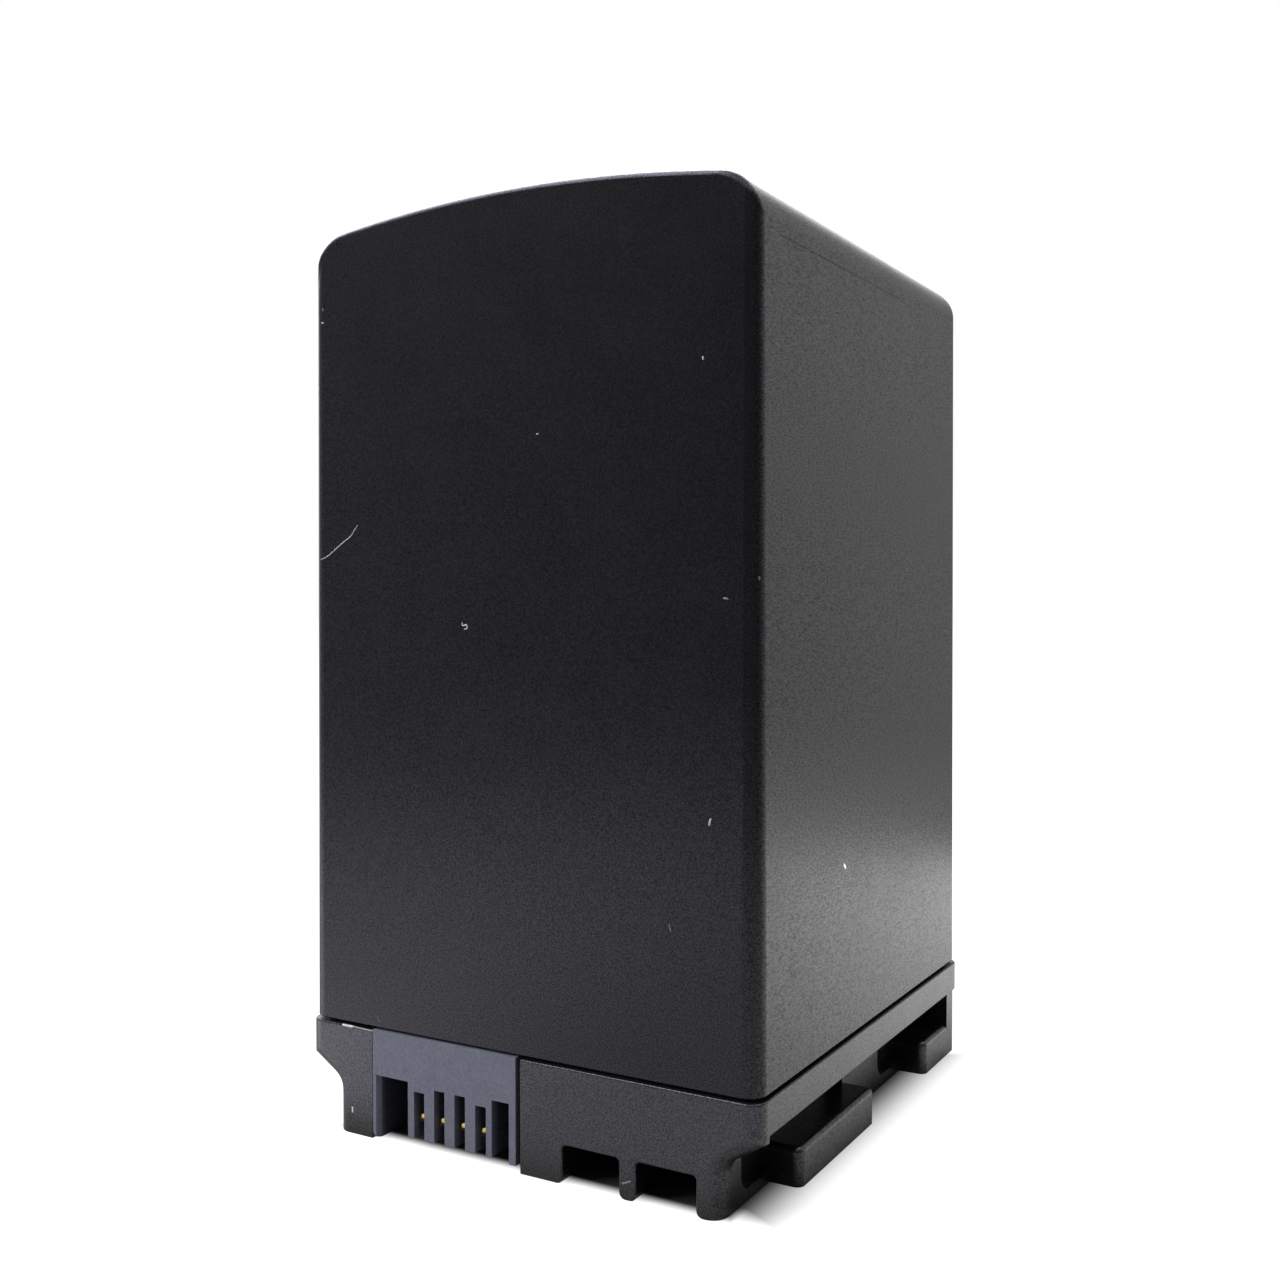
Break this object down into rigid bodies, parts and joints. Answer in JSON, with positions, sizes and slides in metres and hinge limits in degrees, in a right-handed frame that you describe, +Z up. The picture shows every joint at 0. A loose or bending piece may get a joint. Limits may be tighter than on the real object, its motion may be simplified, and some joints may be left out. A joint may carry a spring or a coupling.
{
  "type": "camera battery",
  "caption": "Tall camera battery pack with an arched case, a railed base, key notches and a slotted terminal block, with cells and circuit inside.",
  "frame": {"origin": "middle of the underside, on the floor", "axes": "+X along the front's width to the right, +Y from the contact end to the back, +Z up to the arch"},
  "size_m": [0.0308, 0.0338, 0.0555],
  "materials": {
    "case_plastic": "fine satin texture",
    "base_plastic": "fine satin texture",
    "block_plastic": "matte, moulded",
    "contact_gold": "gold plated",
    "cell_can": "drawn, satin",
    "tape": "translucent adhesive",
    "spacer_plastic": "plain",
    "foam": "closed-cell foam",
    "insulating_paper": "fish paper",
    "nickel": "rolled",
    "board": "solder mask",
    "chip_resin": "moulded resin",
    "chip_ceramic": "plain"
  },
  "bodies": {
    "root": {"upper_case": "case_plastic", "mounting_base": "base_plastic", "terminal_block": "block_plastic", "contact_positive": "contact_gold", "contact_data": "contact_gold", "contact_thermistor": "contact_gold", "contact_negative": "contact_gold", "cell_1": "cell_can", "cell_2": "cell_can", "cell_3": "cell_can", "cell_4": "cell_can", "cell_5": "cell_can", "cell_tape_1": "tape", "cell_tape_2": "tape", "cell_tape_3": "tape", "cell_tape_4": "tape", "cell_spacer": "spacer_plastic", "top_pad": "foam", "front_insulator": "insulating_paper", "back_insulator": "insulating_paper", "positive_strip": "nickel", "negative_strip": "nickel", "circuit_board": "board", "control_chip": "chip_resin", "switch_transistors": "chip_resin", "fuse": "chip_ceramic", "thermistor": "chip_ceramic", "chip_parts": "chip_ceramic"}
  },
  "joints": []
}
